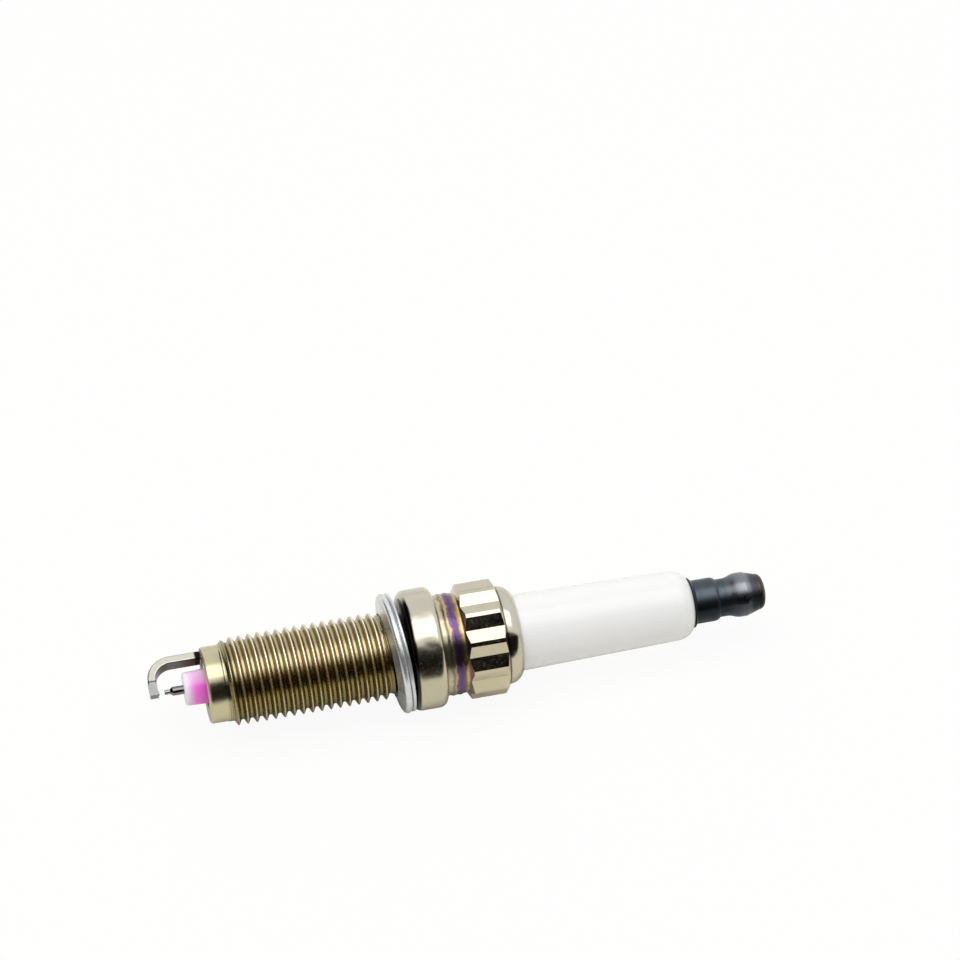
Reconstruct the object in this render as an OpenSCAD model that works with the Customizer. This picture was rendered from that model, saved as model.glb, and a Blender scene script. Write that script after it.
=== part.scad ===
// Resistor spark plug with a long-reach threaded shell and a 12-point drive.
// The plug lies on its side: +X runs along its axis from the electrodes to the terminal and +Z is up.
// The origin is on the axis, in the plane of the collar's seat. All sizes are in millimetres.

/* [Thread and seat] */
// Outside diameter of the screw thread
thread_d = 11.86; // [11.6:0.02:12.2]
// Distance from one turn of the thread to the next
thread_pitch = 1.25; // [1:0.05:1.5]
// Radial depth of the thread
thread_depth = 0.71; // [0.5:0.01:0.76]
// Width of the thread's crest
thread_crest = 0.2; // [0.1:0.01:0.4]
// Width of the thread's root
thread_root = 0.25; // [0.1:0.01:0.4]
// Length from the seat to the end of the shell
reach = 27; // [25:0.5:30]
// Length of the plain nose ahead of the thread
nose_len = 3; // [2:0.1:4]
// Radial step from the thread's crests down to the plain nose
nose_step = 0.7; // [0.5:0.05:0.9]
// Radius on the end corner of the nose
nose_round = 0.45; // [0.2:0.05:0.7]
// Radial depth of the relief between the thread and the seat
relief_depth = 0.78; // [0.6:0.02:0.9]
// Length of the relief, where the gasket is held captive
relief_len = 2.9; // [2.8:0.1:3.6]
// Axial length of the run-out at each end of the thread
thread_runout = 0.4; // [0.3:0.1:0.8]

/* [Collar, shrink zone and drive] */
// Diameter of the round collar
collar_d = 16.3; // [15.8:0.1:18]
// Length of the collar above the seat
collar_len = 4.65; // [4.2:0.05:6.5]
// Radius on the collar's seat edge
seat_round = 1.2; // [0.4:0.05:1.3]
// Radius on the collar's upper edge
collar_round = 1.1; // [0.5:0.05:1.3]
// Diameter of the thin shrink zone at its ends
shrink_d = 13.45; // [13.2:0.05:13.9]
// How far the shrink zone bulges in the middle
shrink_bulge_h = 0.15; // [0.05:0.05:0.3]
// Length of the shrink zone
shrink_len = 2.9; // [2:0.1:4]
// Size across the flats of each of the two hexagons in the drive
hex_af = 13.75; // [13.4:0.05:14.2]
// Diameter over the drive's points
hex_tip_d = 15.55; // [15.1:0.05:16]
// Length of the drive
hex_len = 5.7; // [4.5:0.1:8]
// Length of the chamfer at the drive's lower end
hex_lead = 0.55; // [0.3:0.05:0.8]
// Length of the chamfer at the drive's upper end
hex_chamfer = 0.5; // [0.3:0.05:1.2]

/* [Crimped rim] */
// Diameter of the rim above the drive
crimp_d = 13.3; // [13:0.05:13.6]
// Straight length of the rim before it curls over
crimp_len = 0.1; // [0.05:0.05:1]
// Radius of the curl over the insulator's shoulder
crimp_curl = 2.2; // [1.9:0.05:2.4]
// Width of the rim's edge
crimp_edge = 0.12; // [0.08:0.01:0.2]

/* [Bores of the shell] */
// Bore for the insulator's collar
collar_bore_d = 11.5; // [11.2:0.05:12]
// Bore for the insulator's body inside the thread
body_bore_d = 7.9; // [7.4:0.05:8.3]
// Height of the step between the two bores above the seat
bore_step_h = 1.2; // [0.5:0.1:2]
// Axial length of that step's cone
bore_step_len = 1.6; // [1:0.1:2]
// Depth of the inner ledge below the seat
ledge_depth = 15; // [14:0.5:17]
// Throat of the inner ledge
throat_d = 6.6; // [6.4:0.05:7]
// Length of the throat
throat_len = 3; // [2:0.1:5]
// Bore at the open end around the insulator's nose
nose_bore_d = 6.8; // [6.7:0.05:7.6]
// Rise of the ledge's cone for each millimetre of radius
ledge_slope = 0.577; // [0.4:0.01:0.8]

/* [Sealing gasket] */
// Outside diameter of the folded gasket
gasket_d = 16.4; // [15.8:0.1:17.5]
// Thickness of the gasket's sheet metal
gasket_sheet = 0.34; // [0.28:0.02:0.38]
// Gap between its folded layers
gasket_fold_gap = 0.12; // [0.08:0.02:0.16]
// Radial gap between the gasket's lip and the relief
gasket_lip_gap = 0.45; // [0.35:0.05:0.55]
// Radial set-back of the inner fold behind the lip
gasket_fold_in = 0.4; // [0.3:0.05:0.8]
// Radial set-back of the free upper edge behind the rim
gasket_edge_in = 0.08; // [0.04:0.02:0.2]
// How far the gasket's lip is dished towards the thread
gasket_dish = 0.5; // [0.3:0.05:0.6]
// Lean of the loose gasket on the relief, in degrees
gasket_tilt = 4; // [0:0.5:4.5]
// Angle below the horizontal of the side that leans on the seat, in degrees
gasket_turn = 32; // [-180:1:180]
// Gap between the leaning gasket and the seat
gasket_seat_gap = 0.1; // [0.1:0.05:0.3]

/* [Insulator] */
// Height of the insulator's top above the seat
insulator_h = 39.5; // [36:0.1:44]
// Diameter of the insulator where it leaves the rim
neck_d = 10.4; // [10:0.05:10.8]
// Diameter of the insulator below its top shoulder
top_d = 9.45; // [9.2:0.05:10.2]
// Radius of the top shoulder
top_round = 2.6; // [2:0.05:2.8]
// Diameter of the flat top under the terminal
top_flat_d = 5.7; // [5.2:0.05:6.2]
// How far the insulator's nose stands out of the shell
nose_out = 2.85; // [2:0.05:4]
// Diameter of the insulator's nose at its tip
nose_tip_d = 4.45; // [4.2:0.05:4.8]
// Diameter of the insulator's nose at its root
nose_base_d = 5.9; // [5.5:0.05:6.1]
// Radius on the nose's tip
nose_tip_round = 0.4; // [0.2:0.05:0.6]
// Bore for the terminal stud, the resistor and the glass seals
core_bore_d = 4.3; // [4.2:0.05:4.6]
// Radial gap between the insulator's body and the shell
body_gap = 0.08; // [0.05:0.01:0.12]
// Thickness of the inner sealing ring
seal_ring_t = 0.4; // [0.3:0.05:0.6]

/* [Centre electrode] */
// Diameter of the electrode's shank in the insulator
shank_d = 2.2; // [2:0.05:2.4]
// Diameter of the electrode's bare end
bare_d = 1.2; // [1:0.05:1.3]
// How far the bare end stands out of the insulator
bare_out = 1.8; // [1.2:0.05:2.2]
// Length of the cone at the bare end
bare_cone_len = 0.35; // [0.2:0.05:0.5]
// Diameter of the welded precious-metal pin
pin_d = 0.64; // [0.5:0.02:0.8]
// Length of the pin in the open
pin_out = 0.75; // [0.5:0.05:1]
// Length of the pin set into the electrode
pin_set = 0.3; // [0.2:0.05:0.4]
// Diameter of the electrode's head
head_d = 3.4; // [3.2:0.05:3.6]
// Length of the head above its seat
head_len = 1.6; // [1.2:0.1:2]
// Depth of the head's seat below the plug's seat
head_depth = 11; // [10:0.5:12]
// Diameter of the copper core
copper_d = 1.1; // [0.9:0.05:1.3]
// Length of nickel left solid ahead of the copper core
copper_end = 6; // [5:0.5:8]

/* [Ground electrode] */
// Width of the ground strap
strap_w = 1.9; // [1.7:0.05:2.3]
// Thickness of the ground strap
strap_t = 1.12; // [1:0.02:1.3]
// Radius on the strap's long edges
strap_edge = 0.18; // [0.1:0.02:0.3]
// Radius from the axis to the middle of the strap's thickness
strap_at = 4.42; // [4.3:0.02:4.5]
// Radius of the bend at the middle of the strap's thickness
strap_bend = 2.8; // [2:0.1:3]
// How far the strap's end passes the axis
strap_past = 0.4; // [0.3:0.05:0.8]
// Length of the taper at the strap's end
strap_taper_len = 1.6; // [1.2:0.1:1.8]
// Width of the strap's end
strap_tip_w = 0.95; // [0.9:0.05:1.4]
// Angle of the strap above the horizontal, in degrees
strap_rise = 9; // [-30:1:60]
// Spark gap between the pin and the pad
spark_gap = 0.7; // [0.6:0.05:1.1]
// Diameter of the pad on the strap
pad_d = 0.7; // [0.6:0.05:0.8]
// Height of the pad
pad_h = 0.12; // [0.08:0.02:0.2]
// Width of the strap's copper core
strap_core_w = 0.8; // [0.6:0.05:1]
// Thickness of the strap's copper core
strap_core_t = 0.4; // [0.3:0.05:0.5]
// Radius on the copper core's long edges
strap_core_edge = 0.1; // [0.05:0.01:0.14]
// How far the copper core runs on past the bend
strap_core_past = 0.5; // [0.3:0.05:0.6]

/* [Terminal and resistor] */
// Diameter of the stud's threaded end
stud_thread_d = 3.9; // [3.7:0.05:4]
// Diameter of the stud's shank
stud_d = 3.5; // [3.2:0.05:3.7]
// Length of the stud's threaded end inside the insulator
stud_thread_in = 4.5; // [3:0.5:6]
// Length of the stud's grooved tail in the glass
tail_len = 3; // [2.4:0.1:4]
// Number of grooves around the tail
tail_grooves = 4; // [3:1:6]
// Depth of each groove in the tail
tail_groove_depth = 0.22; // [0.1:0.02:0.3]
// Length of the lower glass seal above the electrode's head
lower_glass_len = 1.6; // [1.2:0.1:2.4]
// Length of the resistor
resistor_len = 9; // [7:0.5:11]
// Length of glass between the resistor and the stud
upper_glass_len = 0.9; // [0.6:0.1:1.5]
// Diameter of the nut's lower barrel
post_d = 5.95; // [5.8:0.05:6.2]
// Diameter of the nut's flared foot
foot_d = 6.85; // [6.4:0.05:7]
// Length of the flared foot
foot_len = 0.4; // [0.3:0.05:0.8]
// Length of the barrel, with its foot
barrel_len = 2.75; // [2.2:0.05:3.5]
// Length of the barrel's rounded shoulder
shoulder_len = 0.85; // [0.5:0.05:1]
// Diameter of the nut's waist
waist_d = 5.15; // [5:0.05:5.4]
// Length of the straight waist
waist_len = 1.1; // [0.6:0.1:2]
// Length from the waist to the bulb
rise_len = 1.8; // [1.4:0.1:3.5]
// Diameter of the bulb
bulb_d = 6; // [5.9:0.05:6.2]
// Length of the bulb's straight band
band_len = 0.9; // [0.6:0.1:2]
// Length of the crown above the band
crown_len = 2.87; // [2.4:0.01:3.2]
// Height of the crown's domed end above its corner
crown_dome_h = 0.39; // [0.2:0.01:0.5]
// Diameter of the crown before its end radius
crown_d = 4.9; // [4.5:0.1:5.2]
// Radius on the crown's corner
crown_round = 0.9; // [0.6:0.05:1]
// Thickness of metal over the stud's end in the nut
crown_wall = 1.2; // [0.8:0.1:1.6]

/* [Fits] */
// Clearance between pieces that seat on or in each other
fit = 0.03; // [0.02:0.01:0.05]
// Axial clearance above the step between the shell's bores
step_gap = 0.3; // [0.2:0.05:0.5]

/* [Hidden] */
$fn = 96;
arc_steps = 8;
edge_steps = 3;
through = 1;

thread_r = thread_d / 2;
root_r = thread_r - thread_depth;
thread_flank = (thread_pitch - thread_crest - thread_root) / 2;
nose_r = thread_r - nose_step;
relief_r = thread_r - relief_depth;
collar_r = collar_d / 2;
seat_r = collar_r - seat_round;
shrink_r = shrink_d / 2;
hex_tip_r = hex_tip_d / 2;
crimp_r = crimp_d / 2;
neck_r = neck_d / 2;
collar_bore_r = collar_bore_d / 2;
body_bore_r = body_bore_d / 2;
throat_r = throat_d / 2;
core_bore_r = core_bore_d / 2;

// Heights along the axis, measured from the seat towards the terminal
nose_end = -reach;
thread_low = nose_end + nose_len;
thread_high = -relief_len - thread_runout;
thread_turns = floor((thread_high - thread_low) / thread_pitch);
first_crest = thread_high - thread_turns * thread_pitch - thread_crest;
hex_low = collar_len + shrink_len;
hex_high = hex_low + hex_len;
curl_low = hex_high + crimp_len;
ledge_low = -ledge_depth;
tip_low = nose_end - nose_out;
bare_end = tip_low - bare_out;
pin_end = bare_end - pin_out;
head_low = -head_depth;
head_high = head_low + head_len;
resistor_low = head_high + lower_glass_len;
resistor_high = resistor_low + resistor_len;
stud_low = resistor_high + upper_glass_len;
tail_high = stud_low + tail_len;
barrel_high = insulator_h + barrel_len;
waist_low = barrel_high + shoulder_len;
waist_high = waist_low + waist_len;
bulb_low = waist_high + rise_len;
bulb_high = bulb_low + band_len;
terminal_high = bulb_high + crown_len;
stud_high = terminal_high - crown_wall - fit;
copper_low = tip_low + copper_end;

// The rim curls about one centre, and the insulator's shoulder lies under it on the same centre
curl_c = [crimp_r - crimp_curl, curl_low];
curl_in_r = crimp_curl - (crimp_r - collar_bore_r);
curl_out_a = acos((neck_r + fit + crimp_edge - curl_c[0]) / crimp_curl);
curl_in_a = acos((neck_r + fit - curl_c[0]) / curl_in_r);
shoulder_a = acos((neck_r - curl_c[0]) / (curl_in_r - fit));
curl_high = curl_low + crimp_curl * sin(curl_out_a);

// The insulator seats on the sealing ring, and the ring seats on the shell's ledge
body_r = body_bore_r - body_gap;
seat_stack = seal_ring_t + 2 * fit;
insulator_collar_r = collar_bore_r - fit;
shank_bore_r = shank_d / 2 + fit;
bare_bore_r = bare_d / 2 + fit;
bare_bore_len = nose_out / 2;
top_c = top_d / 2 - top_round;
top_a = acos((top_flat_d / 2 - top_c) / top_round);
shank_cone = shank_bore_r - bare_bore_r;
head_cone = core_bore_r - shank_bore_r;
copper_bore_r = copper_d / 2 + fit;

// The ground strap runs out from the shell's end, bends and ends across the axis
strap_face = pin_end - spark_gap - pad_h;
strap_mid = strap_face - strap_t / 2;
strap_leg = nose_end - strap_mid - strap_bend;
strap_arm = strap_at - strap_bend + strap_past;

// The gasket is one strip folded into three layers
gasket_r = gasket_d / 2;
gasket_lip_r = relief_r + gasket_lip_gap;
gasket_layer = gasket_sheet + gasket_fold_gap;
gasket_fold_r = gasket_sheet + gasket_fold_gap / 2;
gasket_t = 3 * gasket_sheet + 2 * gasket_fold_gap;
gasket_mid = -gasket_seat_gap - seat_r * sin(gasket_tilt) - gasket_t / 2 * cos(gasket_tilt);

// Points of an arc in a profile of radius and height
function arc(centre, r, from, to, steps = arc_steps) =
    [for (i = [0:steps]) let (a = from + (to - from) * i / steps) centre + r * [cos(a), sin(a)]];

// Points of a smooth S-shaped change of radius between two heights
function sweep(r0, z0, r1, z1) =
    [for (i = [0:arc_steps]) [
        r0 + (r1 - r0) * (1 - cos(180 * i / arc_steps)) / 2,
        z0 + (z1 - z0) * i / arc_steps
    ]];

// Height of the shell's inner ledge at a radius
function ledge_z(r) = ledge_low + (r - throat_r) * ledge_slope;

// Lays a shape that stands along Z onto the plug's axis
module on_axis() {
    rotate([0, 90, 0]) children();
}

module revolve(points) {
    rotate_extrude() polygon(points);
}

// Profile of the thread from the nose to the relief: rings of its pitch, depth and flanks, without its helix
function thread_ridges() = [
    for (turn = [0:thread_turns])
        let (
            low = first_crest + turn * thread_pitch,
            high = low + thread_crest,
            root_low = high + thread_flank
        )
        each concat(
            [[thread_r, low], [thread_r, high]],
            turn < thread_turns ? [[root_r, root_low], [root_r, root_low + thread_root]] : []
        )
];

module shell_outside() {
    revolve(concat(
        [[0, nose_end]],
        arc([nose_r - nose_round, nose_end + nose_round], nose_round, -90, 0),
        [[nose_r, first_crest - thread_runout]],
        thread_ridges(),
        [
            [relief_r, -relief_len],
            [relief_r, 0]
        ],
        arc([seat_r, seat_round], seat_round, -90, 0),
        arc([collar_r - collar_round, collar_len - collar_round], collar_round, 0, 90),
        [for (i = [0:arc_steps]) [
            shrink_r + shrink_bulge_h * sin(180 * i / arc_steps),
            collar_len + shrink_len * i / arc_steps
        ]],
        [[crimp_r, hex_low]],
        arc(curl_c, crimp_curl, 0, curl_out_a),
        [[0, curl_high]]
    ));
}

// Two hexagons a twelfth of a turn apart, cut to the points' diameter and chamfered at both ends
module bi_hex_drive() {
    intersection() {
        for (turn = [15, 45])
            rotate([0, 0, turn])
                translate([0, 0, hex_low])
                    cylinder(d = hex_af / cos(30), h = hex_len, $fn = 6);
        revolve([
            [0, hex_low],
            [shrink_r, hex_low],
            [hex_tip_r, hex_low + hex_lead],
            [hex_tip_r, hex_high - hex_chamfer],
            [crimp_r, hex_high],
            [0, hex_high]
        ]);
    }
}

module shell_bores() {
    revolve(concat(
        [
            [0, nose_end - through],
            [nose_bore_d / 2, nose_end - through],
            [nose_bore_d / 2, ledge_low - throat_len],
            [throat_r, ledge_low - throat_len + nose_bore_d / 2 - throat_r],
            [throat_r, ledge_low],
            [body_bore_r, ledge_z(body_bore_r)],
            [body_bore_r, bore_step_h],
            [collar_bore_r, bore_step_h + bore_step_len]
        ],
        arc(curl_c, curl_in_r, 0, curl_in_a),
        [
            [neck_r + fit, curl_high + through],
            [0, curl_high + through]
        ]
    ));
}

module shell() {
    color("#b9ad86")
        on_axis()
            difference() {
                union() {
                    shell_outside();
                    bi_hex_drive();
                }
                shell_bores();
            }
}

// Section of the folded strip, with its dished first layer on the electrode side
function gasket_section() =
    let (
        fold_out = gasket_r - gasket_fold_r,
        fold_in = gasket_lip_r + gasket_fold_in + gasket_fold_r,
        edge = gasket_r - gasket_edge_in,
        c_out = [fold_out, gasket_fold_r],
        c_in = [fold_in, gasket_fold_r + gasket_layer],
        slit_r = gasket_fold_gap / 2
    )
    concat(
        [[gasket_lip_r, -gasket_dish]],
        arc(c_out, gasket_fold_r, -90, 90),
        arc(c_in, slit_r, 270, 90),
        [[edge, 2 * gasket_layer], [edge, gasket_t]],
        arc(c_in, gasket_fold_r, 90, 270),
        arc(c_out, slit_r, 90, -90),
        [[gasket_lip_r, gasket_sheet - gasket_dish]]
    );

module sealing_gasket() {
    color("#c6cad0")
        on_axis()
            translate([0, 0, gasket_mid])
                rotate([-gasket_tilt, 0, gasket_turn])
                    translate([0, 0, -gasket_t / 2])
                        revolve(gasket_section());
}

module inner_seal_ring() {
    inner = throat_r + fit;
    outer = body_r;
    color("#9a9a9a")
        on_axis()
            revolve([
                [inner, ledge_z(inner) + fit],
                [outer, ledge_z(outer) + fit],
                [outer, ledge_z(outer) + fit + seal_ring_t],
                [inner, ledge_z(inner) + fit + seal_ring_t]
            ]);
}

module insulator() {
    tip_r = nose_tip_d / 2;
    base_r = nose_base_d / 2;
    color("#f4f3f0")
        on_axis()
            difference() {
                revolve(concat(
                    [[0, tip_low]],
                    arc([tip_r - nose_tip_round, tip_low + nose_tip_round], nose_tip_round, -90, 0),
                    [
                        [base_r, ledge_z(base_r) + seat_stack],
                        [body_r, ledge_z(body_r) + seat_stack],
                        [body_r, bore_step_h + step_gap],
                        [insulator_collar_r, bore_step_h + bore_step_len + step_gap]
                    ],
                    arc(curl_c, curl_in_r - fit, 0, shoulder_a),
                    arc([top_c, insulator_h - top_round * sin(top_a)], top_round, 0, top_a),
                    [[0, insulator_h]]
                ));
                revolve([
                    [0, tip_low - through],
                    [bare_bore_r, tip_low - through],
                    [bare_bore_r, tip_low + bare_bore_len],
                    [shank_bore_r, tip_low + bare_bore_len + shank_cone],
                    [shank_bore_r, head_low - head_cone],
                    [core_bore_r, head_low],
                    [core_bore_r, insulator_h + through],
                    [0, insulator_h + through]
                ]);
            }
}

module terminal_nut() {
    post_r = post_d / 2;
    waist_r = waist_d / 2;
    bulb_r = bulb_d / 2;
    corner_a = 60;
    corner = [crown_d / 2 - crown_round, terminal_high - crown_dome_h - crown_round * sin(corner_a)];
    dome_edge = corner[0] + crown_round * cos(corner_a);
    dome_r = (dome_edge ^ 2 + crown_dome_h ^ 2) / (2 * crown_dome_h);
    color("#26282d")
        on_axis()
            difference() {
                revolve(concat(
                    [
                        [0, insulator_h],
                        [foot_d / 2, insulator_h],
                        [post_r, insulator_h + foot_len],
                        [post_r, barrel_high]
                    ],
                    [for (i = [1:arc_steps]) let (a = 90 * i / arc_steps) [
                        waist_r + (post_r - waist_r) * cos(a),
                        barrel_high + shoulder_len * sin(a)
                    ]],
                    sweep(waist_r, waist_high, bulb_r, bulb_low),
                    [[bulb_r, bulb_high]],
                    arc(corner, crown_round, 0, corner_a),
                    arc([0, terminal_high - dome_r], dome_r, acos(dome_edge / dome_r), 90)
                ));
                translate([0, 0, insulator_h - through])
                    cylinder(d = stud_thread_d + 2 * fit, h = stud_high + fit - insulator_h + through);
            }
}

module terminal_stud() {
    stud_r = stud_d / 2;
    groove_r = stud_r - tail_groove_depth;
    pitch = tail_len / (2 * tail_grooves + 1);
    end_r = stud_thread_d / 2;
    end_low = insulator_h - stud_thread_in;
    lead = end_r - stud_r;
    color("#a9a9ab")
        on_axis()
            revolve(concat(
                [[0, stud_low]],
                [for (i = [0:2 * tail_grooves], step = [0, 1])
                    [i % 2 == 0 ? stud_r : groove_r, stud_low + (i + step) * pitch]],
                [
                    [stud_r, end_low],
                    [end_r, end_low + lead],
                    [end_r, stud_high - lead],
                    [stud_r, stud_high],
                    [0, stud_high]
                ]
            ));
}

module upper_glass_seal() {
    outer = core_bore_r - fit;
    inner = stud_d / 2 + fit;
    color("#7d5a46")
        on_axis()
            revolve([
                [0, resistor_high],
                [outer, resistor_high],
                [outer, tail_high],
                [inner, tail_high],
                [inner, stud_low],
                [0, stud_low]
            ]);
}

module resistor_core() {
    color("#3b3a38")
        on_axis()
            translate([0, 0, resistor_low])
                cylinder(r = core_bore_r - fit, h = resistor_len);
}

module lower_glass_seal() {
    outer = core_bore_r - fit;
    inner = head_d / 2 + fit;
    color("#7d5a46")
        on_axis()
            revolve([
                [inner, head_low],
                [outer, head_low],
                [outer, resistor_low],
                [0, resistor_low],
                [0, head_high],
                [inner, head_high]
            ]);
}

module centre_electrode() {
    shank_r = shank_d / 2;
    bare_r = bare_d / 2;
    head_r = head_d / 2;
    cone_low = tip_low + bare_bore_len + shank_cone + fit;
    color("#8f8f92")
        on_axis()
            difference() {
                revolve([
                    [0, bare_end],
                    [pin_d / 2 + fit, bare_end],
                    [bare_r, bare_end + bare_cone_len],
                    [bare_r, cone_low],
                    [shank_r, cone_low + shank_r - bare_r],
                    [shank_r, head_low - head_cone + fit],
                    [head_r, head_low - head_cone + fit + head_r - shank_r],
                    [head_r, head_high],
                    [0, head_high]
                ]);
                translate([0, 0, copper_low])
                    cylinder(r = copper_bore_r, h = head_high - copper_low + through);
                translate([0, 0, bare_end - through])
                    cylinder(d = pin_d + 2 * fit, h = pin_set + through);
            }
}

module centre_electrode_core() {
    color("#b87346")
        on_axis()
            translate([0, 0, copper_low])
                cylinder(d = copper_d, h = head_high - copper_low);
}

module centre_electrode_tip() {
    color("#c9c9cc")
        on_axis()
            translate([0, 0, pin_end])
                cylinder(d = pin_d, h = pin_out + pin_set);
}

// Rectangle with rounded corners, thickness along X and width along Y
module strap_section(thick, wide, edge) {
    x = thick / 2 - edge;
    y = wide / 2 - edge;
    polygon(concat(
        arc([x, y], edge, 0, 90, edge_steps),
        arc([-x, y], edge, 90, 180, edge_steps),
        arc([-x, -y], edge, 180, 270, edge_steps),
        arc([x, -y], edge, 270, 360, edge_steps)
    ));
}

// A straight leg, a quarter bend about Z and a straight arm, all of one section
module strap_path(thick, wide, edge, arm) {
    rotate([90, 0, 0])
        linear_extrude(strap_leg)
            translate([strap_bend, 0])
                strap_section(thick, wide, edge);
    rotate_extrude(angle = 90)
        translate([strap_bend, 0])
            strap_section(thick, wide, edge);
    rotate([-90, 0, 90])
        linear_extrude(arm)
            translate([strap_bend, 0])
                strap_section(thick, wide, edge);
}

// Puts the centre of the strap's bend where it belongs beside the axis
module strap_place() {
    on_axis()
        rotate([0, 0, 90 + strap_rise])
            translate([strap_at - strap_bend, 0, nose_end - strap_leg])
                rotate([-90, 0, 0])
                    children();
}

// The two wedges cut off the arm to narrow its end
module strap_tip_cuts() {
    start = strap_taper_len - strap_arm;
    end = -strap_arm - through;
    for (side = [0, 1])
        mirror([0, 0, side])
            translate([0, strap_bend - strap_t, 0])
                rotate([-90, 0, 0])
                    linear_extrude(2 * strap_t)
                        polygon([
                            [start, strap_w / 2],
                            [-strap_arm, strap_tip_w / 2],
                            [end, strap_tip_w / 2],
                            [end, strap_w],
                            [start, strap_w]
                        ]);
}

module ground_electrode() {
    color("#a7a49b")
        strap_place()
            difference() {
                strap_path(strap_t, strap_w, strap_edge, strap_arm);
                strap_tip_cuts();
                strap_path(
                    strap_core_t + 2 * fit,
                    strap_core_w + 2 * fit,
                    strap_core_edge + fit,
                    strap_core_past + fit
                );
            }
}

module ground_electrode_core() {
    color("#b87346")
        strap_place()
            strap_path(strap_core_t, strap_core_w, strap_core_edge, strap_core_past);
}

module ground_electrode_pad() {
    color("#c9c9cc")
        on_axis()
            translate([0, 0, strap_face])
                cylinder(d = pad_d, h = pad_h);
}

shell();
sealing_gasket();
inner_seal_ring();
insulator();
terminal_nut();
terminal_stud();
upper_glass_seal();
resistor_core();
lower_glass_seal();
centre_electrode();
centre_electrode_core();
centre_electrode_tip();
ground_electrode();
ground_electrode_core();
ground_electrode_pad();
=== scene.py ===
"""Looks of a long-reach spark plug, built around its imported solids.

The plug's axis is X, from the electrodes to the terminal, and the seat of its collar is at x = 0.
Sizes below are in millimetres, as in the part's source, and MM turns them into metres.
"""

import math

import bmesh
import bpy
from mathutils import Matrix, Vector


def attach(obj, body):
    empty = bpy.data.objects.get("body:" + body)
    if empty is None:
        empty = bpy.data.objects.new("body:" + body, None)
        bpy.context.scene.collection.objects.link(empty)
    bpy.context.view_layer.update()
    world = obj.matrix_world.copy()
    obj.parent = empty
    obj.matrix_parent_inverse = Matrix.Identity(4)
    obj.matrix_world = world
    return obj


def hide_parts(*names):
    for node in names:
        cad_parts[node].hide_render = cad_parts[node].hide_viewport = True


MM = 0.001

# Thread, nose and relief
PITCH = 1.25
CREST_R = 5.93
ROOT_R = 5.22
NOSE_R = 5.14
NOSE_END = -27.0
NOSE_ROUND = 0.35
BORE_EDGE = 0.15
THREAD_START = -24.6
THREAD_FULL = -23.45
THREAD_HIGH = -3.45
THREAD_PHASE = 0.78
LEAD_IN = 0.2
RELIEF_R = 5.15
RELIEF_END = -2.9
RELIEF_RIDGE = 0.35
RELIEF_RUN = 1.6
ZONE_MARGIN = 0.1
ZONE_LOW = THREAD_START - ZONE_MARGIN
ZONE_HIGH = RELIEF_END + RELIEF_RUN + ZONE_MARGIN

# One ridge of the thread, from its crest to its root: the part of the pitch and the height as a share
HALF_FORM = [
    (0.0, 1.0),
    (0.05, 0.985),
    (0.085, 0.91),
    (0.16, 0.68),
    (0.25, 0.39),
    (0.335, 0.11),
    (0.375, 0.025),
    (0.42, 0.0),
]
THREAD_FORM = HALF_FORM + [(0.5, 0.0)] + [(1 - part, rise) for part, rise in reversed(HALF_FORM[1:])]

# Collar, shrink zone, drive and rim
COLLAR_R = 8.15
COLLAR_LEN = 4.65
SEAT_ROUND = 1.2
COLLAR_ROUND = 1.1
SHRINK_R = 6.725
SHRINK_BULGE = 0.15
SHRINK_WAVES = 3
SHRINK_RIDGE = 0.05
HEX_LOW = 7.55
HEX_HIGH = 13.25
HEX_FLAT_R = 6.875
HEX_TIP_R = 7.775
HEX_LEAD = 0.55
HEX_CHAMFER = 0.5
HEX_POINTS = 12
CRIMP_R = 6.65
CRIMP_LEN = 0.1
CRIMP_CURL = 2.2
CRIMP_EDGE = 0.12
NECK_R = 5.2
FIT = 0.03

# Bores of the shell
NOSE_BORE_R = 3.4
THROAT_R = 3.3
THROAT_LEN = 3.0
LEDGE = -15.0
LEDGE_SLOPE = 0.577
BODY_BORE_R = 3.95
BORE_STEP = 1.2
BORE_STEP_LEN = 1.6
COLLAR_BORE_R = 5.75

# Gasket: its rim, lip, lean and the place of its middle
GASKET_R = 8.185
LIP_R = 5.7
GASKET_T = 1.26
DISH = 0.5
SEAT_GAP = 0.1
LEAN = math.radians(4)
LEAN_TURN = math.radians(32)
GASKET_MID = -SEAT_GAP - (COLLAR_R - SEAT_ROUND) * math.sin(LEAN) - GASKET_T / 2 * math.cos(LEAN)

# The ground strap's angle above the horizontal
STRAP_RISE = math.radians(9)

# Angles in degrees around the axis, from +Y towards +Z
DOWN = -90
SECTOR = 360 / HEX_POINTS

# The plug's axis, and the side of the plug that is turned up and away in the photograph
AXIS = (1, 0, 0)
UPPER_BACK = (0, 0.76, 0.65)

# Most of the noise's values lie between these
NOISE_LOW = 0.3
NOISE_HIGH = 0.7

WHITE = (1, 1, 1)


def add(tree, kind, **inputs):
    """Adds a shader node and sets or links its inputs, which are named with _ for a space."""
    made = tree.nodes.new(kind)
    for name, value in inputs.items():
        put(tree, made.inputs[name.replace("_", " ")], value)
    return made


def put(tree, socket, value):
    """Links a socket to another one, or sets its value."""
    if isinstance(value, bpy.types.NodeSocket):
        tree.links.new(value, socket)
    else:
        socket.default_value = value


def material(name, colour, metallic, roughness):
    """A new principled material; returns it with its node tree and shader."""
    made = bpy.data.materials.new(name)
    made.use_nodes = True
    shader = made.node_tree.nodes["Principled BSDF"]
    shader.inputs["Base Color"].default_value = (*colour, 1)
    shader.inputs["Metallic"].default_value = metallic
    shader.inputs["Roughness"].default_value = roughness
    return made, made.node_tree, shader


def paint(tree, shader, **sockets):
    """Links sockets to the shader's inputs, which are named with _ for a space."""
    for name, socket in sockets.items():
        tree.links.new(socket, shader.inputs[name.replace("_", " ")])


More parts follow.
